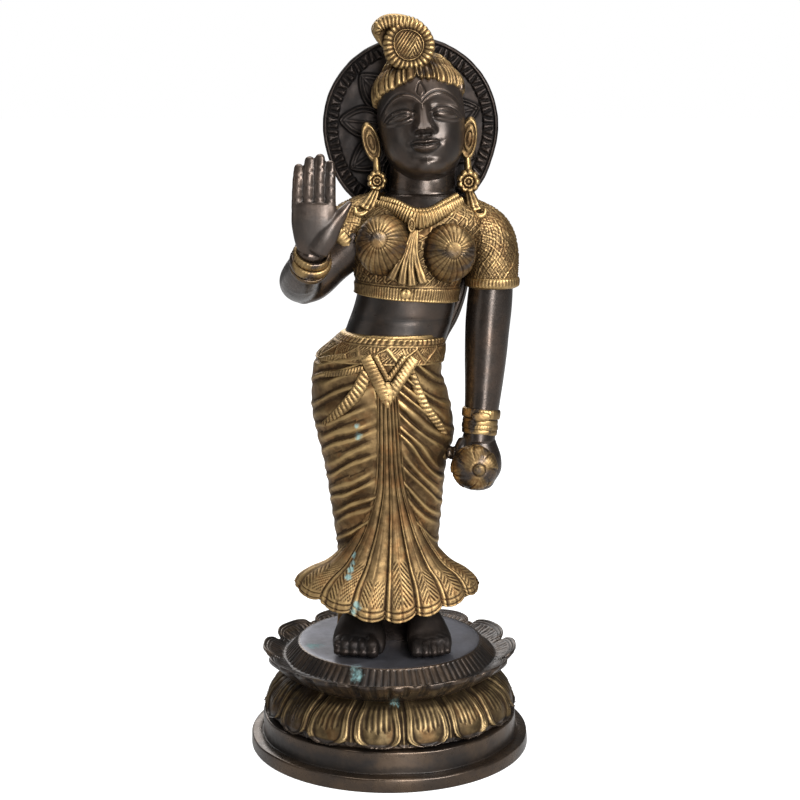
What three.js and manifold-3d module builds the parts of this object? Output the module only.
// Cast brass figure of a standing goddess on a double lotus throne, one solid casting.
// Millimetres, +Z up, origin at the bottom centre of the base, the figure faces -Y.
import * as THREE from 'three';
import Module from 'manifold-3d';

const wasm = await Module();
wasm.setup();

// base and throne, millimetres
const baseRadius = 87.7;
const baseTop = 8.7;
const drumRadius = 80.1;
const drumTop = 22;
const edgeBreak = 1.2;          // small chamfer on the turned edges
const lowerRadius = 79;         // bulge of the hanging petals
const lowerNeck = 61;
const lowerTop = 47;
const lowerTip = 24.4;          // where the hanging petals end
const upperRadius = 79;         // tips of the flaring petals
const upperTip = 61.2;
const upperNeck = 59;
const petalScoop = 6.5;         // how far the rounded petal ends draw back at their sides
const seatRadius = 57;          // flat top the feet stand on
const seatTop = 66.2;
const seatSkirt = 66.4;         // foot of the seat's ribbed side
const ribDepth = 0.45;
const throneTop = 57;           // height that the figure is measured from, hidden inside the seat
const lowerPetals = 16;
const upperPetals = 12;
const upperPhase = -91;         // degrees, one large petal points to this side
const turnedSegments = 60;

// figure, millimetres; every other size of it is a share of its height
const figureHeight = 393;
const u = figureHeight / 100;

// aureole
const haloRadius = 13.6;        // shares of the figure's height, like all that follows
const haloThick = 1.05;
const haloCentre = [3.31, 5.65, 83.56];
const haloPetals = 9;
const haloPhase = 175;          // degrees from +X, middle of the first petal

// carving
const foldDepth = 0.21;
const foldRows = 26;
const pleatEdges = [-1, -0.72, -0.386, -0.02, 0.317, 0.6, 0.85, 1];   // shares of the fan's half spread
const cupFlutes = 14;
const crownFlutes = 32;
const crestRays = 18;
const crestPlate = 3.85;        // the fringed plate; the outline runs past it into the curl
const crestMid = [3.02, -2.4, 95.6];
const toeReach = 10.9;
const faceFrom = 76;
const handFrom = 60;
const handFront = -12;

// facets, and how much finer they are kept on the face, the raised hand and the petals
const facetCount = 9900;
const faceCare = 6;
const handCare = 3;
const petalCare = 2;

const rad = Math.PI / 180;
const clamp = (x) => Math.min(1, Math.max(0, x));
const ease = (x) => clamp(x) ** 2 * (3 - 2 * clamp(x));
const mix = (a, b, t) => a + (b - a) * t;
const signed = (v, p) => Math.sign(v) * Math.abs(v) ** p;
const V = (x, y, z) => new THREE.Vector3(x, y, z);
const at = (x, y, z) => V(x * u, y * u, throneTop + z * u);
const bump = (x, w) => Math.exp(-((x / w) ** 2));

// smooth reading of a table whose rows start with the height
function along(rows, z) {
  const last = rows.length - 1;
  const t = Math.min(Math.max(z, rows[0][0]), rows[last][0]);
  let i = 0;
  while (i < last - 1 && t > rows[i + 1][0]) i += 1;
  const [a, b] = [rows[i], rows[i + 1]];
  const before = rows[Math.max(0, i - 1)];
  const after = rows[Math.min(last, i + 2)];
  const h = b[0] - a[0];
  const s = (t - a[0]) / h;
  return a.slice(1).map((v, k) => {
    const w = b[k + 1];
    const m0 = ((w - before[k + 1]) / (b[0] - before[0])) * h;
    const m1 = ((after[k + 1] - v) / (after[0] - a[0])) * h;
    return v * (2 * s ** 3 - 3 * s ** 2 + 1) + m0 * (s ** 3 - 2 * s ** 2 + s)
      + w * (3 * s ** 2 - 2 * s ** 3) + m1 * (s ** 3 - s ** 2);
  });
}

function solidFrom(points, faces) {
  const geometry = new THREE.BufferGeometry();
  geometry.setAttribute('position', new THREE.Float32BufferAttribute(points.flatMap((p) => [p.x, p.y, p.z]), 3));
  geometry.setIndex(faces.flat());
  return toManifold(geometry);
}

function toManifold(geometry) {
  const position = geometry.getAttribute('position');
  const index = Uint32Array.from(geometry.getIndex().array);
  const point = (i) => V(position.getX(i), position.getY(i), position.getZ(i));
  let volume = 0;
  for (let i = 0; i < index.length; i += 3) {
    volume += point(index[i]).dot(point(index[i + 1]).cross(point(index[i + 2])));
  }
  if (volume < 0) {
    for (let i = 0; i < index.length; i += 3) [index[i + 1], index[i + 2]] = [index[i + 2], index[i + 1]];
  }
  return new wasm.Manifold(new wasm.Mesh({
    numProp: 3, vertProperties: Float32Array.from(position.array), triVerts: index,
  }));
}

// closes up the edges that matter least, one at a time, until the facet count is met
function thinned(vertices, triangles, wanted, care) {
  const points = [];
  for (let i = 0; i < vertices.length; i += 3) points.push(V(vertices[i], vertices[i + 1], vertices[i + 2]));
  const faces = [];
  for (let i = 0; i < triangles.length; i += 3) faces.push([triangles[i], triangles[i + 1], triangles[i + 2]]);
  const around = points.map(() => new Set());
  faces.forEach((f, i) => f.forEach((p) => around[p].add(i)));
  const normal = (a, b, c) => b.clone().sub(a).cross(c.clone().sub(a));
  const errors = points.map(() => new Float64Array(10));
  for (const f of faces) {
    const n = normal(...f.map((p) => points[p]));
    const weight = Math.sqrt(n.length()) * care(points[f[0]]);
    n.normalize();
    const d = -n.dot(points[f[0]]);
    const plane = [n.x, n.y, n.z, d];
    for (const p of f) {
      let slot = 0;
      for (let i = 0; i < 4; i += 1) for (let j = i; j < 4; j += 1) errors[p][slot++] += plane[i] * plane[j] * weight;
    }
  }
  const errorAt = (q, { x, y, z }) => q[0] * x * x + 2 * q[1] * x * y + 2 * q[2] * x * z + 2 * q[3] * x
    + q[4] * y * y + 2 * q[5] * y * z + 2 * q[6] * y + q[7] * z * z + 2 * q[8] * z + q[9];
  function best(a, b) {
    const q = errors[a].map((v, i) => v + errors[b][i]);
    const middle = points[a].clone().add(points[b]).multiplyScalar(0.5);
    const options = [points[a], points[b], middle];
    const m = new THREE.Matrix3().set(q[0], q[1], q[2], q[1], q[4], q[5], q[2], q[5], q[7]);
    if (Math.abs(m.determinant()) > 1e-3) {
      const exact = V(-q[3], -q[6], -q[8]).applyMatrix3(m.invert());
      if (exact.distanceTo(middle) < points[a].distanceTo(points[b])) options.push(exact);
    }
    const scored = options.map((p) => [errorAt(q, p) + 1e-4 * points[a].distanceToSquared(points[b]), p]);
    return scored.reduce((x, y) => (y[0] < x[0] ? y : x));
  }
  const version = points.map(() => 0);
  const heap = [];
  const swap = (i, j) => { [heap[i], heap[j]] = [heap[j], heap[i]]; };
  function push(a, b) {
    const [cost, place] = best(a, b);
    heap.push({ cost, place, a, b, stamp: version[a] + version[b] });
    for (let i = heap.length - 1; i > 0;) {
      const up = (i - 1) >> 1;
      if (heap[up].cost <= heap[i].cost) break;
      swap(up, i);
      i = up;
    }
  }
  function pop() {
    const top = heap[0];
    const end = heap.pop();
    if (heap.length) heap[0] = end;
    for (let i = 0; ;) {
      let low = i;
      for (const c of [2 * i + 1, 2 * i + 2]) if (c < heap.length && heap[c].cost < heap[low].cost) low = c;
      if (low === i) break;
      swap(low, i);
      i = low;
    }
    return top;
  }
  const neighbours = (p) => new Set([...around[p]].flatMap((f) => faces[f]).filter((q) => q !== p));
  points.forEach((_, p) => neighbours(p).forEach((q) => { if (p < q) push(p, q); }));
  let count = faces.length;
  while (count > wanted && heap.length) {
    const { a, b, place, stamp } = pop();
    if (!around[a].size || !around[b].size || version[a] + version[b] !== stamp) continue;
    const ring = neighbours(b);
    if (!ring.has(a)) continue;
    if ([...neighbours(a)].filter((p) => ring.has(p)).length !== 2) continue;
    const turns = [a, b].some((moved) => [...around[moved]].some((f) => {
      const corners = faces[f];
      if (corners.includes(a) && corners.includes(b)) return false;
      const was = normal(...corners.map((p) => points[p]));
      const now = normal(...corners.map((p) => (p === moved ? place : points[p])));
      return now.dot(was) < 0.3 * now.length() * was.length() || now.length() < 0.01;
    }));
    if (turns) continue;
    points[a] = place.clone();
    errors[a] = errors[a].map((v, i) => v + errors[b][i]);
    for (const f of around[b]) {
      if (faces[f].includes(a)) {
        faces[f].forEach((p) => { if (p !== b) around[p].delete(f); });
        faces[f] = null;
        count -= 1;
      } else {
        faces[f] = faces[f].map((p) => (p === b ? a : p));
        around[a].add(f);
      }
    }
    around[b].clear();
    version[a] += 1;
    neighbours(a).forEach((p) => push(a, p));
  }
  const kept = new Map();
  const index = faces.filter((f) => f).flat().map((p) => {
    if (!kept.has(p)) kept.set(p, kept.size);
    return kept.get(p);
  });
  return { position: [...kept.keys()].flatMap((p) => points[p].toArray()), index };
}

const centre = (ring) => ring.reduce((s, p) => s.add(p), V(0, 0, 0)).divideScalar(ring.length);

// stacked closed rings with a point closing each end
function skin(rings, first = centre(rings[0]), last = centre(rings[rings.length - 1])) {
  const n = rings[0].length;
  const points = [first, ...rings.flat(), last];
  const end = points.length - 1;
  const faces = [];
  for (let r = 0; r < rings.length; r += 1) {
    for (let j = 0; j < n; j += 1) {
      const k = (j + 1) % n;
      const a = 1 + r * n + j;
      const b = 1 + r * n + k;
      if (r === 0) faces.push([0, b, a]);
      if (r === rings.length - 1) faces.push([end, a, b]);
      else faces.push([a, b, b + n], [a, b + n, a + n]);
    }
  }
  return solidFrom(points, faces);
}

// closed sheet between a finely divided front and a plain back, rows from the top down, points left to right
function sheet(front, back) {
  const points = [...front.flat(), ...back.flat()];
  const [fn, bn, rows] = [front[0].length, back[0].length, front.length];
  const f = (r, c) => r * fn + c;
  const b = (r, c) => rows * fn + r * bn + c;
  const faces = [];
  for (let r = 0; r < rows - 1; r += 1) {
    for (let c = 0; c < fn - 1; c += 1) {
      faces.push([f(r, c), f(r + 1, c), f(r + 1, c + 1)], [f(r, c), f(r + 1, c + 1), f(r, c + 1)]);
    }
    for (let c = 0; c < bn - 1; c += 1) {
      faces.push([b(r, c), b(r + 1, c + 1), b(r + 1, c)], [b(r, c), b(r, c + 1), b(r + 1, c + 1)]);
    }
    faces.push([b(r, 0), b(r + 1, 0), f(r + 1, 0)], [b(r, 0), f(r + 1, 0), f(r, 0)]);
    const [fe, be] = [fn - 1, bn - 1];
    faces.push([f(r, fe), f(r + 1, fe), b(r + 1, be)], [f(r, fe), b(r + 1, be), b(r, be)]);
  }
  for (const [r, flip] of [[0, false], [rows - 1, true]]) {
    let [i, j] = [0, 0];
    while (i < fn - 1 || j < bn - 1) {
      const alongFront = j === bn - 1 || (i < fn - 1 && (i + 0.5) / (fn - 1) <= (j + 0.5) / (bn - 1));
      const tri = alongFront ? [f(r, i), f(r, i + 1), b(r, j)] : [b(r, j), f(r, i), b(r, j + 1)];
      if (alongFront) i += 1; else j += 1;
      faces.push(flip ? [tri[0], tri[2], tri[1]] : tri);
    }
  }
  return solidFrom(points, faces);
}

// round or flattened bar through stations [x, y, z, half width, half depth]; ref sets which way the width lies
function limb(stations, sides = 8, ref = V(0, 1, 0), round = 0.5) {
  const path = stations.map(([x, y, z]) => at(x, y, z));
  const rings = [];
  let ends = [];
  path.forEach((p, i) => {
    const t = path[Math.min(i + 1, path.length - 1)].clone().sub(path[Math.max(i - 1, 0)]).normalize();
    const across = ref.clone().cross(t).normalize();
    const deep = t.clone().cross(across).normalize();
    const [w, d] = [stations[i][3] * u, (stations[i][4] ?? stations[i][3]) * u];
    rings.push(Array.from({ length: sides }, (_, k) => {
      const a = ((k + 0.5) / sides) * 2 * Math.PI;
      return p.clone().addScaledVector(across, w * Math.cos(a)).addScaledVector(deep, d * Math.sin(a));
    }));
    if (i === 0) ends[0] = p.clone().addScaledVector(t, -round * Math.min(w, d));
    if (i === path.length - 1) ends[1] = p.clone().addScaledVector(t, round * Math.min(w, d));
  });
  return skin(rings, ends[0], ends[1]);
}

// oval of a body section; angle 0 faces the front and turns towards +X
function oval([cx, half, front, back, square = 2.2], z, angles, lift = () => 0) {
  return angles.map((a) => {
    const [s, c] = [Math.sin(a), Math.cos(a)];
    const p = 2 / square;
    const d = lift(a, z);
    const k = 1 + d / half;
    return at(cx + half * k * signed(s, p), -(c > 0 ? front : back) * k * signed(c, p), z);
  });
}

// how far forward a section reaches at x
function faceAt(rows, x, z, square = 2.25) {
  const [cx, half, front] = along(rows, z);
  return -front * Math.max(0, 1 - Math.abs((x - cx) / half) ** square) ** (1 / square);
}

const turn = (n) => Array.from({ length: n }, (_, k) => (k / n) * 2 * Math.PI);

// turned base disc and drum
const turned = (profile, n) => skin(
  profile.map(([r, z]) => turn(n).map((a) => V(r * Math.sin(a), -r * Math.cos(a), z))),
  V(0, 0, profile[0][1]), V(0, 0, profile[profile.length - 1][1]),
);
const coveRadius = drumRadius + 1.3;
const base = turned([
  [baseRadius, 0], [baseRadius, baseTop - edgeBreak], [baseRadius - edgeBreak, baseTop],
  [coveRadius, baseTop], [drumRadius, baseTop + edgeBreak], [drumRadius, drumTop - edgeBreak],
  [drumRadius - edgeBreak, drumTop],
], turnedSegments);

// hanging petals of the lower lotus: each column runs down one petal, shorter at the gaps
const lowerColumns = [-0.5, -0.37, -0.26, 0, 0.26, 0.37];
const lowerProfile = [
  [0, lowerNeck, lowerTop], [0.2, lowerNeck + 5, lowerTop - 4.4], [0.42, lowerRadius - 6.6, lowerTop - 7.4],
  [0.66, lowerRadius - 1.9, lowerTop - 12.6], [0.86, lowerRadius + 0.3, lowerTip + 4.2], [0.93, lowerRadius + 0.3, lowerTip + 2],
  [1, lowerRadius - 0.9, lowerTip],
];
const lowerRings = lowerProfile.map(([s]) => {
  const ring = [];
  for (let k = 0; k < lowerPetals; k += 1) {
    for (const c of lowerColumns) {
      const gap = Math.abs(c) > 0.45;
      const rim = Math.abs(Math.abs(c) - 0.37) < 0.01;
      const reach = s * (gap ? 0.8 : rim ? 0.92 : 1 - 0.5 * c * c);
      const [r, z] = along(lowerProfile, reach);
      const swell = (gap ? -1.3 : rim ? 0.9 : 0.4 - Math.abs(c) * 1.6 + (s > 0.9 && s < 0.95 ? 0.8 : 0));
      const a = ((k + c) / lowerPetals) * 2 * Math.PI;
      const rr = r + swell * ease(s * 3);
      ring.push(V(rr * Math.sin(a), -rr * Math.cos(a), z));
    }
  }
  return ring;
});
const tucked = lowerRings[lowerRings.length - 1].map((p) => V(p.x * 0.95, p.y * 0.95, drumTop - 0.6));
const lowerLotus = skin([...lowerRings, tucked].reverse(), V(0, 0, drumTop - 2), V(0, 0, lowerTop));

// flaring petals of the upper lotus, large ones with round ends and small ones in their gaps, and the seat inside them
const petalPitch = 360 / upperPetals;
const upperColumns = [-0.4, -0.3, -0.15, 0, 0.15, 0.3, 0.4, 0.5];
const upperProfile = [
  // radius, height, how far this ring follows the petal outline, how far it is ribbed
  [upperNeck, lowerTop - 3, 0, 0], [64.5, 48.4, 0.15, 0], [71.5, 52.6, 0.5, 0], [upperRadius - 1, upperTip - 2.2, 1, 0],
  [upperRadius, upperTip, 1, 0], [upperRadius - 1.6, upperTip + 0.7, 0.9, 0], [upperRadius - 6, upperTip - 1, 0.6, 0],
  [seatSkirt + 1.2, throneTop + 0.6, 0.05, 0], [seatSkirt, throneTop + 0.6, 0, 0], [seatSkirt - 1, throneTop + 1.4, 0, 1],
  [seatRadius + 1.2, seatTop - 0.9, 0, 1], [seatRadius, seatTop - 0.1, 0, 0], [seatRadius / 2, seatTop, 0, 0],
];
const upperRings = upperProfile.map(([r, z, follow, ribbed]) => {
  const ring = [];
  for (let k = 0; k < upperPetals; k += 1) {
    upperColumns.forEach((c, j) => {
      const large = c < 0.42;
      const off = Math.abs(c) / 0.42;
      const reach = large ? 1.2 - petalScoop * (1 - Math.sqrt(1 - off * off)) : -petalScoop * 0.8;
      const fluted = large && Math.abs(Math.abs(c) - 0.15) < 0.01 ? -0.5 : 0;
      const a = (upperPhase + (k + c) * petalPitch) * rad;
      const rr = r + follow * (reach + fluted) + ribbed * (j % 2 ? ribDepth : -ribDepth);
      ring.push(V(rr * Math.sin(a), -rr * Math.cos(a), z + follow * (reach * 0.45 + fluted)));
    });
  }
  return ring;
});
const upperLotus = skin(upperRings, V(0, 0, lowerTop - 3), V(0, 0, seatTop));

// skirt section table: height, centre, half width, front, back
const skirtRows = [
  [0, -0.2, 8.9, 1.2, 7.2], [4, -0.2, 8.5, 1.6, 6.6], [8, -0.2, 8.2, 4.2, 6.0], [12, -0.2, 8.1, 5.8, 5.6],
  [17.6, -0.25, 8.0, 6.4, 5.6], [19, -0.3, 8.1, 6.5, 5.7], [24.2, -0.45, 8.7, 6.9, 6.0], [29.4, -0.6, 9.3, 7.4, 6.4],
  [33.3, -0.7, 9.95, 7.8, 6.8], [35.8, -0.55, 10.7, 8.1, 7.1], [38.4, -0.95, 10.9, 8.3, 7.4],
  [41, -1.3, 10.85, 8.4, 7.7], [43.5, -1.6, 10.5, 8.4, 7.8], [46, -1.95, 10.05, 8.3, 7.7],
  [48.6, -1.35, 9.75, 8.0, 7.3], [51.1, 0.0, 8.45, 7.5, 6.7], [52.4, 0.75, 7.55, 7.2, 6.3],
];
const skirtAngles = [0, 9, 20, 31, 42, 54, 67, 80, 94, 110, 128, 148, 168, 192, 212, 232, 250, 266, 280, 293, 306,
  318, 329, 340, 351].map((d) => d * rad);
const pleatStart = 45.6;
const skirtTop = 52.3;
const skirtLow = 15.4;
const sideOn = 100 * rad;        // where a fold has come round to the side and hangs level
// how high a fold has climbed where it meets the pleats in front
function foldRise(a, level) {
  const left = a > Math.PI;
  const turned = Math.min(a, 2 * Math.PI - a);
  const side = clamp(turned / sideOn);
  const strength = left ? 5.4 : 8.6;
  const fade = ease((skirtTop - level) / 9) * ease((level - skirtLow) / 9);
  const backSag = side >= 1 ? 0.9 * ease((turned - sideOn) / (70 * rad)) : 0;
  return fade * (strength * (1 - side) ** (left ? 1.35 : 1.9) + backSag);
}
const skirtRings = [];
for (let r = 0; r <= foldRows; r += 1) {
  const level = mix(skirtLow, skirtTop, r / foldRows);
  skirtRings.push(skirtAngles.map((a) => {
    const z = Math.min(skirtTop, level + foldRise(a, level));
    const row = along(skirtRows, z);
    const front = Math.min(a, 2 * Math.PI - a);
    const quiet = mix(0.25, 1, ease((front - 8 * rad) / (22 * rad))) * mix(1, 0.45, ease((front - 100 * rad) / (40 * rad)));
    const fade = ease((skirtTop - level) / 4) * ease((level - skirtLow) / 3);
    const d = (r % 2 ? foldDepth : -foldDepth) * quiet * fade + 0.06;
    return oval([...row, 2.25], z, [a], () => d)[0];
  }));
}
const skirt = skin(skirtRings);

// part of the skirt that falls behind the feet
const columnAngles = turn(20);
const columnRings = [-0.6, 2, 5, 9, 13, 17].map((z) => oval([...along(skirtRows, Math.max(z, 0)), 2.4], z, columnAngles,
  (a) => (Math.round(a / (18 * rad)) % 2 ? 0.15 : -0.15)));
const backColumn = skin(columnRings);

// pleats from the belt clasp, opening below the knees into the hem fan
// each row: height at the middle, half spread, middle x, front reach, roundness of the plan, how far the outer pleats drop
const pleatRows = [
  [45.6, 1.5, -0.3, 8.75, 0, 0], [41, 1.75, -0.15, 9.0, 0, 0], [36, 2.0, 0, 8.7, 0.1, 0], [32, 2.3, 0.1, 8.5, 0.2, 0],
  [28.6, 2.9, 0.2, 8.3, 0.35, 0.2], [25.4, 4.2, 0.2, 8.25, 0.6, 0.6], [22.2, 5.9, 0.15, 8.4, 0.8, 1.2],
  [19.2, 7.9, 0.05, 8.8, 0.95, 1.0], [16.4, 9.9, -0.05, 9.4, 1, 0.1], [13.8, 12.3, -0.2, 10.1, 1, -1.3],
  [11.2, 14.0, -0.35, 10.75, 1, -2.6], [9.3, 14.75, -0.4, 11.15, 1, -3.3],
];
const pleatTable = pleatRows.map((r, i) => [i, ...r]);
// where a point of the fan lies: s from -1 to 1 across, k the row, out the lift off the sheet
function fanPoint(s, k, out) {
  const [mid, spread, cx, reach, round, drop] = along(pleatTable, k);
  const e = Math.sign(s) * Math.abs(s);
  const plan = Math.sqrt(Math.max(0, 1 - (e * 0.985) ** 2));
  const y = -mix(reach - 0.4 * e * e, 1.4 + (reach - 1.4) * plan, round);
  const z = mid - drop * Math.abs(e) ** 1.6 * (s < 0 ? 1.08 : 0.95);
  const n = V(e * round, -1 + 0.4 * Math.abs(e) * round, 0).normalize();
  return at(cx + spread * e + n.x * out, y + n.y * out, z);
}
const pleatCount = pleatEdges.length - 1;
const across = [];
for (let k = 0; k < pleatCount; k += 1) {
  for (const f of [0, 0.22, 0.5, 0.78]) across.push({ s: mix(pleatEdges[k], pleatEdges[k + 1], f), f });
}
across.push({ s: 1, f: 0 });
const hem = pleatRows.length - 1;
const fanFront = pleatRows.map((row, k) => across.map(({ s, f }) => {
  const open = clamp((k - 3) / (hem - 3));
  const lift = [-0.16 - 0.3 * open, 0.2 + 0.15 * open, 0.3 + 0.3 * open][f === 0 ? 0 : f === 0.5 ? 2 : 1];
  const point = fanPoint(s, k, lift * (Math.abs(s) > 0.999 ? 0.2 : 1));
  if (k === hem) point.z -= u * [0, 0.75, 1][f === 0 ? 0 : f === 0.5 ? 2 : 1] * mix(0.75, 0.4, Math.abs(s));
  return point;
}));
const fanBack = pleatRows.map((row, k) => Array.from({ length: pleatCount + 1 }, (_, c) => (
  fanPoint(mix(-0.97, 0.97, c / pleatCount), k, -0.75))));
const fan = sheet(fanFront, fanBack);

// belt: plain band with a beaded upper edge, dropping a little to +X
const beltAngles = turn(28);
const beltRing = (z, grow, beads) => beltAngles.map((a, k) => {
  const tilt = z - 0.5 * Math.sin(a);
  const row = along(skirtRows, tilt);
  return oval([...row, 2.25], tilt, [a], () => grow + (beads && k % 2 ? 0.18 : 0))[0];
});
const belt = skin([beltRing(48.4, -0.2), beltRing(48.6, 0.25), beltRing(50.4, 0.15), beltRing(50.6, 0.35, true),
  beltRing(51.6, 0.22, true), beltRing(51.9, -0.5)]);

// midriff, chest and neck
const torsoRows = [
  [48, -0.5, 8.6, 6.6, 6.2], [51, 0.7, 8.1, 6.3, 5.9], [53.6, 1.6, 8.0, 6.3, 5.7], [56.1, 2.3, 7.8, 6.4, 5.6],
  [58.6, 2.8, 7.7, 6.6, 5.6], [61.1, 3.0, 8.1, 6.9, 5.7], [63.5, 3.3, 8.9, 7.2, 5.9], [66, 3.8, 9.8, 7.3, 6.1],
  [68.5, 4.5, 10.3, 6.9, 6.2], [70.5, 4.9, 9.7, 6.1, 5.9], [72.2, 5.05, 7.4, 5.3, 5.3], [73.8, 5.1, 5.3, 4.7, 4.9],
];
const torsoAngles = turn(20);
const midriff = skin([47.5, 50, 52.5, 55, 57.5, 60].map((z) => oval([...along(torsoRows, z), 2.3], z, torsoAngles)));
const blouseAngles = turn(26);
const blouseRing = (z, grow, slope = 0) => blouseAngles.map((a) => {
  const zz = z - slope * Math.sin(a);
  return oval([...along(torsoRows, zz), 2.3], zz, [a], () => grow)[0];
});
const blouse = skin([blouseRing(56.9, -0.2, 0.7), blouseRing(57.0, 0.5, 0.7), blouseRing(57.9, 0.55, 0.6), blouseRing(58.1, 0.25, 0.6),
  blouseRing(60.4, 0.25, 0.3), blouseRing(63, 0.25), blouseRing(66, 0.2), blouseRing(68.6, 0.2), blouseRing(70.6, 0.2),
  blouseRing(72.2, 0.15), blouseRing(73.2, -0.1)]);
const neck = limb([[5.0, 0.3, 70, 5.6, 5.0], [5.05, 0.2, 73.4, 5.15, 4.6], [5.1, 0.2, 76, 5.0, 4.4], [5.2, 0.6, 79.5, 5.1, 4.6]],
  14, V(0, 1, 0), 0.1);

// breast cups with radial flutes and a boss
function cup(cx, cz, tipX, tipZ, r) {
  const rings = [[1.04, 0], [1, 0.28], [0.72, 0.68], [0.36, 0.9], [0.24, 0.93], [0.17, 1.08]].map(([f, h], i) => (
    turn(cupFlutes * 2).map((a, k) => {
      const flute = i > 0 && i < 4 && k % 2 ? 0.14 : 0;
      const g = r * f * (1 + flute * 0.25);
      return at(mix(cx, tipX, h) + g * Math.cos(a), -6.0 - (h * 4.2) - flute, mix(cz, tipZ, h) + g * Math.sin(a));
    })));
  return skin([...rings], at(cx, -5.6, cz), at(tipX, -10.75, tipZ));
}
const cups = [cup(-0.45, 65.8, -1.55, 67.3, 4.1), cup(8.85, 64.9, 9.7, 65.7, 3.95)];

// pleated cloth knotted between the cups, four tails fanning out
const knotFoot = 60.4;
const knot = [[1.2, 0.7, 0.42], [2.15, 0.1, 0.42], [3.2, -0.1, 0.42], [4.4, 0, 0.55]].map(([x, rise, w]) => limb([
  [3.9, -7.6, 68.2, 0.35, 0.3], [mix(3.9, x, 0.25), -8.1, 65.6, w * 0.8, 0.4], [mix(3.9, x, 0.6), -8.2, 63.0, w * 0.9, 0.45],
  [x, -7.8, knotFoot + rise, w * 1.2, 0.4]], 6, V(0, 1, 0), 0.1));
const button = limb([[2.55, -6.8, 58.9, 0.8], [2.55, -7.5, 58.9, 0.8], [2.55, -7.65, 58.9, 0.4]], 8, V(0, 0, 1), 0.2);

// sleeves and arms
const sleeveRight = limb([
  [9.6, 0.3, 69.9, 3.0, 2.8], [12.4, 0.3, 68.9, 3.7, 3.8], [14.7, 0.2, 67.0, 4.2, 4.2], [15.75, 0.1, 64.4, 4.05, 4.1],
  [15.95, 0, 61, 3.85, 4.0], [15.95, 0, 59.3, 3.85, 4.0]], 14, V(0, 1, 0), 0.05);
const cuffRight = limb([[15.95, 0, 60.7, 3.8, 4.0], [15.95, 0, 60.4, 4.05, 4.25], [15.95, 0, 59.4, 4.05, 4.25], [15.95, 0, 59.1, 3.7, 3.9]],
  12, V(0, 1, 0), 0.05);
const armRight = limb([
  [15.9, 0, 61, 3.3, 3.5], [15.55, 0, 56.5, 3.5, 3.6], [15.2, -0.2, 52, 3.42, 3.5], [14.95, -0.5, 47.3, 3.2, 3.25],
  [14.6, -1, 42.2, 2.82, 2.9], [14.2, -1.6, 38, 2.55, 2.6], [14.0, -2, 35, 2.5, 2.7]], 12, V(0, 1, 0), 0.2);
const sleeveLeft = limb([
  [0.2, 0.4, 70.4, 3.2, 3.2], [-3.6, 0.3, 69.5, 3.7, 3.8], [-6.0, -0.1, 68.0, 4.0, 3.9], [-7.3, -0.3, 66.9, 3.9, 3.8]], 12, V(0, 1, 0), 0.05);
const cuffLeft = limb([[-6.6, -0.2, 67.5, 4.0, 4.0], [-6.8, -0.2, 67.3, 4.25, 4.15], [-7.6, -0.4, 66.6, 4.2, 4.1], [-7.8, -0.4, 66.4, 3.7, 3.7]],
  12, V(0, 1, 0), 0.05);
const upperArmLeft = limb([
  [-5.4, -0.3, 66.6, 4.0], [-9.0, -0.6, 63.3, 3.6], [-12.2, -0.9, 60.3, 3.5], [-14.0, -1.5, 59.0, 2.8]], 12, V(0, 1, 0), 0.6);
const forearmLeft = limb([
  [-13.6, -1.0, 59.6, 2.8, 2.9], [-13.6, -4.2, 60.4, 3.1, 3.0], [-12.9, -8.4, 62.2, 2.85, 2.8], [-11.9, -12.2, 64.2, 2.4, 2.4],
  [-11.2, -14.4, 66.2, 2.15, 2.1]], 12, V(0, 0, 1), 0.5);

// bangles: rings on both wrists
function ring(c, dir, r, thick, sides = 16) {
  const t = V(...dir).normalize();
  const rings = [[0, 0], [0.3, 1], [0.7, 1], [1, 0]].map(([h, g]) => limbRing(c, t, r + g * thick * 0.6, (h - 0.5) * thick * 2, sides));
  return skin(rings);
}
function limbRing([x, y, z], t, r, h, sides) {
  const a1 = V(0, 1, 0).cross(t).normalize();
  const a2 = t.clone().cross(a1).normalize();
  return turn(sides).map((a) => at(x, y, z).addScaledVector(t, h * u)
    .addScaledVector(a1, r * u * Math.cos(a)).addScaledVector(a2, r * u * Math.sin(a)));
}
const bangles = [
  ring([14.35, -1.4, 39.5], [0.1, 0.1, 1], 2.72, 0.48), ring([14.2, -1.55, 38.2], [0.1, 0.1, 1], 2.68, 0.36),
  ring([14.1, -1.65, 37.0], [0.1, 0.1, 1], 2.68, 0.4),
  ring([-11.35, -13.5, 65.0], [0.25, -0.72, 0.7], 2.5, 0.4), ring([-11.6, -12.6, 64.1], [0.25, -0.72, 0.7], 2.6, 0.4),
];
const bangleBoss = limb([[14.2, -4.1, 39.4, 1.5, 0.8], [14.2, -4.6, 39.4, 1.3, 0.6]], 8, V(0, 0, 1), 0.2);

// raised open hand, palm to the front
const palmX = -10.75;
const palm = limb([
  [palmX - 0.05, -14.2, 65.6, 2.0, 1.5], [palmX - 0.1, -15.2, 67.4, 2.7, 1.5], [palmX, -15.7, 69.6, 3.2, 1.35],
  [palmX + 0.05, -15.9, 71.6, 3.25, 1.2], [palmX + 0.1, -15.9, 73.2, 3.15, 1.05]], 10, V(0, 1, 0), 0.3);
const fingers = [[-2.3, -12.75, 78.7, 0.9], [-0.82, -11.25, 79.9, 0.93], [0.82, -9.8, 80.3, 0.94], [2.38, -8.35, 79.3, 0.88]]
  .map(([dx, tipX, tipZ, w]) => limb([
    [palmX + dx, -15.85, 72.4, w, w], [mix(palmX + dx, tipX, 0.35), -16.0, mix(73.2, tipZ, 0.3), w * 1.02, w],
    [mix(palmX + dx, tipX, 0.7), -16.0, mix(73.2, tipZ, 0.66), w, w * 0.95], [mix(palmX + dx, tipX, 0.92), -15.8, mix(73.2, tipZ, 0.88), w * 0.8, w * 0.7]],
  8, V(0, 1, 0), 1.0));
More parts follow.
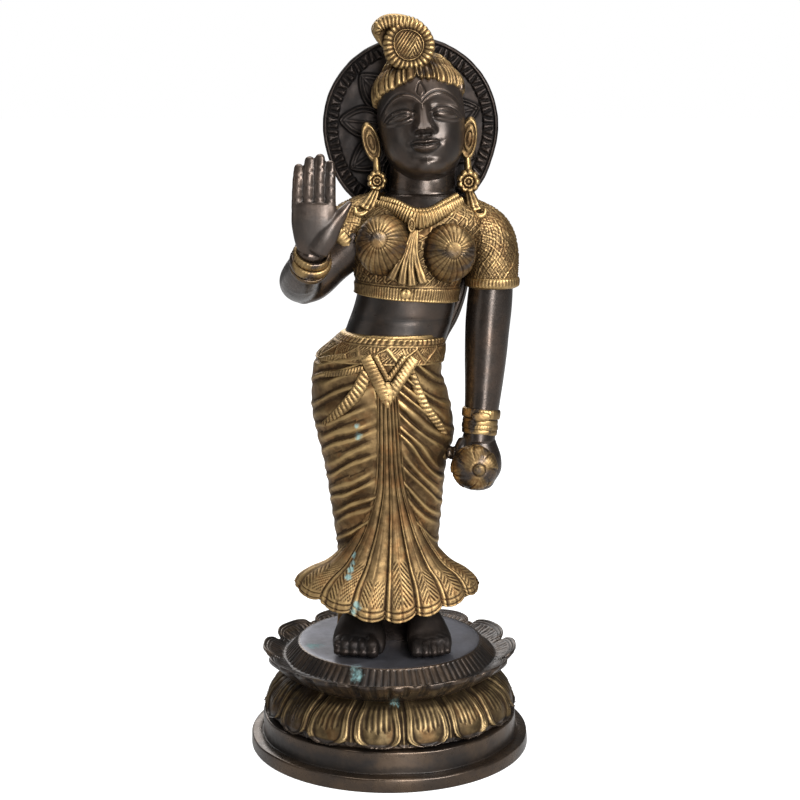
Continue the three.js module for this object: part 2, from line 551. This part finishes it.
const thumb = limb([
  [-10.2, -15.5, 66.4, 1.5, 1.3], [-9.0, -15.9, 68.4, 1.75, 1.4], [-7.7, -15.9, 70.2, 1.5, 1.25], [-6.5, -15.6, 71.8, 1.1, 1.0], [-5.7, -15.2, 72.8, 0.65, 0.6]],
8, V(0, 1, 0), 0.9);

// lowered hand: closed fist with a lotus bud, its fingers over the bud's stalk
const fist = limb([
  [13.9, -1.8, 36.4, 2.3, 2.2], [13.85, -2.0, 34.6, 2.9, 2.7], [13.75, -2.3, 32.4, 3.7, 3.2], [13.7, -2.4, 30.4, 3.7, 3.1],
  [13.7, -2.2, 28.7, 2.7, 2.5]], 12, V(0, 1, 0), 0.45);
const grip = [34.2, 32.6].map((z) => limb([[16.9, -2.4, z, 0.75], [17.1, -4.2, z - 0.3, 0.7], [16.2, -5.6, z - 0.5, 0.5]], 6, V(0, 0, 1), 0.8));
const budCentre = [12.95, -4.2, 31.7];
const budRings = [[3.3, 0.4], [3.95, 1.5], [3.75, 2.9], [2.75, 4.0], [1.3, 4.55], [0.95, 4.4], [0.75, 4.95]].map(([r, h], i) => (
  turn(20).map((a, k) => {
    const g = r * (1 + (i < 4 ? (k % 2 ? 0.02 : -0.08) : 0));
    return at(budCentre[0] + g * Math.cos(a) + 0.18 * h, budCentre[1] - h * 0.95 + 1, budCentre[2] + g * Math.sin(a) + 0.05 * h);
  })));
const bud = skin(budRings, at(13.2, -2.6, 31.7), at(14.1, -8.2, 31.9));
const budLink = limb([[8.6, -2.4, 33.2, 0.9, 0.9], [10.2, -3.1, 33.6, 0.95, 1.0], [11.4, -3.6, 33.4, 0.8, 0.8]], 8, V(0, 0, 1), 0.5);

// feet, side by side on the seat, toes to the front
const sole = (seatTop - throneTop) / u;
function foot(cx, lean, inner) {
  const body = limb([
    [cx - lean, 3.0, sole + 3.0, 2.8, 2.8], [cx - lean * 0.7, 0.5, sole + 4.2, 3.1, 4.2], [cx - lean * 0.3, -2.6, sole + 3.7, 3.5, 3.7],
    [cx, -5.2, sole + 2.5, 3.7, 2.5], [cx + lean * 0.3, -7.6, sole + 1.35, 3.8, 1.4], [cx + lean * 0.4, -8.9, sole + 0.75, 3.6, 0.9]],
  12, V(0, 0, 1), 0.3);
  const toes = [0, 1, 2, 3, 4].map((k) => {
    const w = k === 0 ? 1.0 : 0.76 - 0.02 * k;
    const aside = inner * (2.7 - (k === 0 ? 0 : 0.25 + 1.36 * k));
    const x = cx + aside;
    const back = x - lean * 0.8 - aside * 0.12;
    const tip = 0.07 * k * k - toeReach;
    return limb([[back, -4.8, sole + 3.9, w * 0.8, w * 0.8], [mix(back, x, 0.4), -6.6, sole + 2.9, w, w],
      [mix(back, x, 0.8), tip + 1.9, sole + 1.9, w, w], [x, tip + 0.8, sole + 1.05, w, w], [x, tip + 0.45, sole + 0.6, w * 0.95, w * 0.8]],
    6, V(0, 0, 1), 0.6);
  });
  return [body, ...toes];
}
const feet = [...foot(-5.0, 0.5, 1), ...foot(5.7, 0.9, -1)];

// head: its own frame, turned a little, tipped back and leaning
const headAt = [5.05, 0.9, 83.65];
const headTurn = new THREE.Matrix4().makeRotationY(-5.2 * rad)
  .multiply(new THREE.Matrix4().makeRotationX(-14 * rad))
  .multiply(new THREE.Matrix4().makeRotationZ(1.5 * rad));
const headPoint = (x, y, z) => {
  const p = V(x, y, z).applyMatrix4(headTurn);
  // the back of the head ends inside the aureole
  return at(headAt[0] + p.x, Math.min(headAt[1] + p.y, haloCentre[1]), headAt[2] + p.z);
};
const headRows = [
  [-9.0, 0, 1.6, 5.0, 1.5], [-8.5, 0, 2.7, 6.3, 2.2], [-7.6, 0, 3.9, 6.9, 3.2], [-6.2, 0, 5.0, 7.1, 3.9], [-4.4, 0, 5.85, 7.2, 4.4],
  [-2.2, 0, 6.35, 7.25, 4.6], [0, 0, 6.65, 7.2, 4.7], [2.4, 0, 6.75, 7.1, 4.8], [4.8, 0, 6.5, 6.6, 4.8], [7, 0, 5.7, 5.6, 4.7],
  [8.6, 0, 4.2, 4.1, 4.0], [9.8, 0, 2.2, 2.0, 2.4],
];
const browLine = (ax) => 1.5 + 1.9 * Math.sin(Math.min(Math.PI, (ax / 7) * Math.PI)) ** 0.8 - 0.12 * ax;
// relief of the face in the head's own frame, outwards from the front
function faceRelief(x, z) {
  const ax = Math.abs(x);
  const down = clamp((1.6 - z) / 4.2);
  const nose = z > -3.25 ? mix(0.4, 1.95, down ** 1.2) * bump(x, mix(0.6, 0.95, down)) * ease((2.2 - z) / 1.4) * ease((z + 3.25) / 0.5) : 0;
  const wings = 0.75 * bump(ax - 1.0, 0.5) * bump(z + 2.65, 0.5);
  const brow = 0.42 * bump(z - browLine(ax) + 0.25, 0.55) * ease((6.6 - ax) / 1.2);
  const socket = -0.6 * bump(ax - 3.3, 2.1) * bump(z - 1.1, 0.9) - 0.35 * bump(ax - 1.5, 0.7) * bump(z - 0.2, 1.2);
  const lidShape = 1 - ((ax - 3.3) / 2.5) ** 2 - ((z + 0.05) / 1.05) ** 2;
  const lid = 0.72 * ease(lidShape * 1.1);
  const slit = -0.22 * bump(z + 0.3 + 0.05 * (ax - 3.3) ** 2, 0.17) * ease((2.2 - Math.abs(ax - 3.3)) / 0.5);
  const upperLip = 0.6 * bump(x, 1.75) * bump(z + 4.25 + 0.05 * x * x, 0.4);
  const lowerLip = 0.66 * bump(x, 1.3) * bump(z + 5.35, 0.48);
  const mouth = 0.5 * bump(x, 2.6) * bump(z + 4.8, 1.25) - 0.45 * bump(x, 2.1) * bump(z + 4.8 - 0.04 * x * x, 0.22);
  const corner = -0.25 * bump(ax - 2.35, 0.4) * bump(z + 4.75, 0.4);
  const under = -0.4 * bump(x, 1.7) * bump(z + 6.25, 0.45);
  const chin = 0.6 * bump(x, 1.9) * bump(z + 7.5, 0.95);
  const cheek = 0.3 * bump(ax - 3.9, 1.8) * bump(z + 3, 1.9);
  return nose + wings + brow + socket + lid + slit + upperLip + lowerLip + mouth + corner + under + chin + cheek;
}
const faceShares = [0, 0.07, 0.14, 0.21, 0.29, 0.38, 0.5, 0.63, 0.75, 0.86, 0.95];
const faceColumns = [...faceShares.map((s) => Math.asin(s)), ...[90, 115, 145].map((d) => d * rad)];
const headAngles = [...faceColumns, Math.PI, ...faceColumns.slice(1).reverse().map((a) => 2 * Math.PI - a)];
const headLevels = [-8.8, -8.3, -7.5, -6.6, -6.1, -5.4, -4.85, -4.6, -4.2, -3.5, -3.1, -2.75, -2.2, -1.3, -0.75, -0.3, 0.15, 0.8, 1.5, 2.2, 2.9, 3.6,
  4.6, 6, 7.6, 9.2];
const head = skin(headLevels.map((z) => {
  const [, half, front, back] = along(headRows, z);
  return headAngles.map((a) => {
    const [s, c] = [Math.sin(a), Math.cos(a)];
    const x = half * signed(s, 2 / 2.15);
    const y = -(c > 0 ? front : back) * signed(c, 2 / 2.15);
    return headPoint(x, y - (c > 0 ? faceRelief(x, z) * ease(c * 2.2) : 0), z);
  });
}), headPoint(0, -3.5, -9.1), headPoint(0, 0, 9.9));

// ears: broad gold loops, flower studs below and drops hanging to the shoulders
// middle of the ear, lean across its height, half width, half height, side, middle of the stud and its radius, foot of the drop
const earTable = [
  [[-2.7, 81.2], -0.22, 1.25, 2.9, -1, [-1.8, 75.5], 1.5, [-3.5, 70.5]],
  [[12.15, 81.8], 0.08, 1.2, 3.1, 1, [12.05, 75.4], 1.7, [13.0, 70.3]],
];
const ears = earTable.flatMap(([[ex, ez], lean, wide, tall, side, [sx, sz], bloom, [fx, fz]]) => {
  const loop = limb([1, 0.65, 0.2, -0.3, -0.7, -1].map((f) => (
    [ex + lean * f * tall, -0.2, ez + f * tall * 0.86, wide * Math.sqrt(1.06 - f * f), 1.2])), 10, V(0, 1, 0), 0.5);
  const hollow = limb([0.6, 0, -0.6].map((f) => [ex + lean * f * tall, -1.6, ez + f * tall * 0.6, 0.5 * (1 - f * f * 0.6), 0.5]), 6, V(0, 1, 0), 0.4);
  const stud = limb([[sx, -0.4, sz, bloom], [sx, -2.4, sz, bloom], [sx, -3.0, sz, bloom * 0.5]], 12, V(0, 0, 1), 0.3);
  const link = limb([[sx, -0.8, sz + 3.3, 0.6, 0.8], [sx, -1.0, sz + 1.0, 0.7, 0.8]], 6, V(0, 1, 0), 0.3);
  const drop = limb([[sx, -1.8, sz - 0.9, 0.8, 0.9], [mix(sx, fx, 0.3), -2.4, sz - 2.2, 1.15, 0.95], [mix(sx, fx, 0.75), -2.9, sz - 3.9, 1.0, 0.95],
    [fx, -3.0, fz, 0.8, 0.8]], 8, V(0, 1, 0), 0.6);
  const hook = limb([[fx, -3.6, fz + 0.5, 0.45], [fx - side * 0.5, -3.8, fz - 0.3, 0.4], [fx - side * 1.2, -3.7, fz + 0.1, 0.3]], 6, V(0, 1, 0), 0.6);
  return [loop.subtract(hollow), stud, link, drop, hook];
});

// fluted crown with an arched lower edge
const crownEdge = (a) => mix(5.75, a > Math.PI ? 4.1 : 4.7, ease(Math.abs(Math.sin(a / 2)) * 1.5)) - (Math.cos(a) < 0 ? 2.2 * Math.cos(a) ** 2 : 0);
const crownTop = (a) => mix(9.7, 8.9, clamp(Math.abs(Math.sin(a / 2)) * 1.4));
const crownRings = [[-0.02, -0.35], [0, 0.35], [0.4, 0.75], [0.85, 0.75], [1, 0.35], [1.1, -0.2]].map(([h, grow], i) => (
  turn(crownFlutes * 2).map((a, k) => {
    const z = mix(crownEdge(a), crownTop(a), h);
    const [, half, front, back] = along(headRows, Math.min(z, 8.2));
    const flute = i > 0 && i < 5 && k % 2 ? 0.34 : 0;
    const g = grow + flute - (i === 5 ? 0.8 : 0);
    const [s, c] = [Math.sin(a), Math.cos(a)];
    return headPoint((half + g) * s, -((c > 0 ? front : back) + g) * c, z);
  })));
const crown = skin(crownRings, headPoint(0, 0, 3), headPoint(0, 0.2, 10.6));

// crest on the crown: a plate with rays around a drop, on a thicker leaf whose upper corner curls over to -X
// angle from +X, reach, all round the leaf
const crestOutline = [[-169, 3.9], [-144, 3.97], [-117, 3.8], [-90, 3.55], [-63, 3.8], [-35, 3.95], [-11, 3.9], [12, 3.77], [38, 3.7],
  [63, 3.8], [88, 4.2], [107, 4.8], [122, 5.45], [137, 6.05], [149, 6.25], [158, 6.1], [170, 5.1], [184, 4.0], [197, 3.9]];
const crestRing = (f, y, most = Infinity, lift = 0) => Array.from({ length: crestRays * 2 }, (_, k) => {
  const deg = -166 + (k / (crestRays * 2)) * 360;
  const r = Math.min(along(crestOutline, deg)[0], most) * f;
  return at(crestMid[0] + r * Math.cos(deg * rad), crestMid[1] + y - (k % 2 ? lift : 0), crestMid[2] + r * Math.sin(deg * rad));
});
const crest = skin([crestRing(0.92, 1.5), crestRing(1, 1.1), crestRing(1, 0.1), crestRing(0.97, -0.15),
  crestRing(1, -0.2, crestPlate, 0.15), crestRing(0.88, -0.7, crestPlate, 0.3), crestRing(0.68, -0.8, crestPlate, 0.25),
  crestRing(0.62, -0.5, crestPlate), crestRing(0.56, -0.9, crestPlate)],
at(crestMid[0], -1.3, crestMid[2]), at(crestMid[0], crestMid[1] - 1.1, crestMid[2]));
const curl = limb([[4.4, -2.75, 98.6, 0.8, 0.6], [2.6, -2.8, 99.1, 0.95, 0.7], [0.8, -2.85, 99.1, 1.0, 0.75], [-0.75, -2.9, 98.75, 1.0, 0.75],
  [-1.6, -2.9, 98.1, 0.9, 0.75], [-1.5, -2.85, 97.5, 0.6, 0.6]], 8, V(0, 1, 0), 0.5);

// aureole: disc with a raised rope ring and petals in relief
const haloLong = (a) => 1 + 0.055 * ease((-Math.sin(a) - 0.25) / 0.6) * ease(Math.abs(Math.cos(a)) * 2.2);
const haloRing = (f, y, step) => turn(72).map((a, k) => {
  const r = haloRadius * haloLong(a) * f;
  return at(haloCentre[0] + r * Math.cos(a), haloCentre[1] + y - (k % 2 ? step : 0), haloCentre[2] + r * Math.sin(a));
});
const halo = skin([haloRing(0.97, haloThick * 0.5, 0), haloRing(1, haloThick * 0.1, 0), haloRing(1, -haloThick * 0.3, 0),
  haloRing(0.97, -haloThick * 0.55, 0), haloRing(0.94, -haloThick * 0.75, 0.22), haloRing(0.88, -haloThick * 0.75, -0.22), haloRing(0.85, -haloThick * 0.4, 0)],
at(haloCentre[0], haloCentre[1] + haloThick * 0.5, haloCentre[2]), at(haloCentre[0], haloCentre[1] - haloThick * 0.4, haloCentre[2]));
const petals = Array.from({ length: haloPetals }, (_, k) => {
  const a = (haloPhase + (k * 360) / haloPetals) * rad;
  const out = V(Math.cos(a), 0, Math.sin(a));
  const side = V(-Math.sin(a), 0, Math.cos(a));
  const c = at(...haloCentre);
  const rings = [[4.2, 1.1, 0.35], [6.0, 2.4, 0.75], [8.1, 2.6, 0.85], [10.0, 1.4, 0.55]].map(([r, w, h]) => [
    [-w, 0], [-w * 0.45, h], [0, h * 0.8], [w * 0.45, h], [w, 0], [0, -0.5]].map(([s, d]) => (
    c.clone().addScaledVector(out, r * u).addScaledVector(side, s * u).add(V(0, -(haloThick * 0.3 + d) * u, 0)))));
  const tip = c.clone().addScaledVector(out, 11.1 * u).add(V(0, -haloThick * 0.35 * u, 0));
  return skin(rings, undefined, tip);
});

// shawl hanging down the back from the nape to the hips
const shawl = limb([
  [6.0, 5.2, 74, 3.8, 1.0], [6.7, 5.6, 68, 5.0, 1.3], [7.5, 4.4, 62.5, 5.1, 2.0], [7.3, 4.2, 59, 4.9, 2.0], [6.5, 4.4, 55.5, 4.6, 1.8],
  [5.4, 5.0, 52, 4.0, 1.6], [4.8, 6.2, 49, 3.6, 1.2], [4.5, 7.4, 46.5, 3.2, 0.8]], 10, V(0, 1, 0), 0.3);

// collar: a bead row over a broader band, and a pendant
const droop = (points, halves, deep) => limb(points.map((p, i) => [...p, halves[i], deep]), 8, V(0, 1, 0.1), 0.2);
const bandHalf = [0.6, 1.0, 1.3, 1.45, 1.3, 1.05, 0.6];
const beadHalf = 0.45;
const collar = droop([[-1.6, -2.8, 72.1], [1.08, -5.3, 71.3], [3.2, -6.85, 70.3], [4.7, -7.15, 69.9], [6.45, -6.85, 70.35], [8.45, -5.6, 71.3],
  [10.8, -3.2, 72.5]], bandHalf, 0.6);
const torc = droop([[-0.9, -3.05, 72.8], [1.08, -5.1, 72.45], [2.9, -6.35, 71.65], [4.4, -6.85, 71.25], [6.2, -6.6, 71.4], [8.15, -5.35, 72.35],
  [10.15, -3.5, 73.3]], bandHalf.map(() => beadHalf), 0.5);
const pendant = limb([[3.4, -6.9, 69.2, 0.55, 1.1], [3.4, -7.8, 69.2, 0.5, 1.0]], 8, V(1, 0, 0), 0.3);

// belt clasp: doubled V of bars, and swags with hatched edges, all lying on the skirt
const onSkirt = (points, w, d, proud = 0.12) => limb(points.map(([x, z, k = 1]) => [x, faceAt(skirtRows, x, z) - proud, z, w * k, d]), 6, V(0, 1, 0), 0.3);
const clasp = [
  onSkirt([[-3.3, 49.2], [-1.8, 46.4], [-0.3, 43.4]], 0.85, 0.6, 0.3), onSkirt([[3.6, 49.2], [1.7, 46.4], [-0.3, 43.4]], 0.85, 0.6, 0.3),
  onSkirt([[-1.6, 49.4], [-0.1, 46.4]], 0.42, 0.5, 0.45), onSkirt([[1.9, 49.4], [-0.1, 46.4]], 0.42, 0.5, 0.45),
];
const swags = [
  onSkirt([[-3.6, 46.9, 0.8], [-6.0, 43.9, 1], [-8.4, 41.2, 1], [-10.2, 38.9, 0.7]], 0.85, 0.55),
  onSkirt([[3.5, 46.9, 0.8], [4.8, 43.9, 1], [6.2, 41.2, 1.05], [7.9, 38.2, 1.2]], 0.8, 0.55),
  onSkirt([[-3.9, 47.6], [-6.6, 46.9], [-9.6, 46.4]], 0.5, 0.45),
  onSkirt([[-11.6, 47.9], [-9.6, 48.6], [-6.5, 49.3]], 0.45, 0.4),
];

const pieces = [
  base, lowerLotus, upperLotus, backColumn, skirt, fan, belt, midriff, blouse, neck, ...cups, ...knot, button,
  sleeveRight, cuffRight, armRight, sleeveLeft, cuffLeft, upperArmLeft, forearmLeft, ...bangles, bangleBoss,
  palm, ...fingers, thumb, fist, ...grip, bud, budLink, ...feet, head, ...ears, crown, crest, curl, halo, ...petals,
  shawl, collar, torc, pendant, ...clasp, ...swags,
];
let whole = pieces[0];
for (const piece of pieces.slice(1)) whole = whole.add(piece);
whole = whole.decompose().reduce((a, b) => (a.volume() > b.volume() ? a : b));

const care = (p) => {
  if (p.z > at(0, 0, faceFrom).z && p.y < 0) return faceCare;
  if (p.z > at(0, 0, handFrom).z && p.y < at(0, handFront, 0).y) return handCare;
  return Math.hypot(p.x, p.y) > seatSkirt && p.z > lowerTop ? petalCare : 1;
};
const joined = whole.getMesh();
const { position, index } = thinned(joined.vertProperties, joined.triVerts, facetCount, care);
const geometry = new THREE.BufferGeometry();
geometry.setAttribute('position', new THREE.Float32BufferAttribute(position, 3));
geometry.setIndex(index);
geometry.computeVertexNormals();

const figure = new THREE.Mesh(geometry, new THREE.MeshStandardMaterial({ color: 0x6b5228, roughness: 0.45, metalness: 1 }));
figure.name = 'parvati_figure';
const group = new THREE.Group();
group.name = 'parvati_figure_part';
group.add(figure);
export default group;
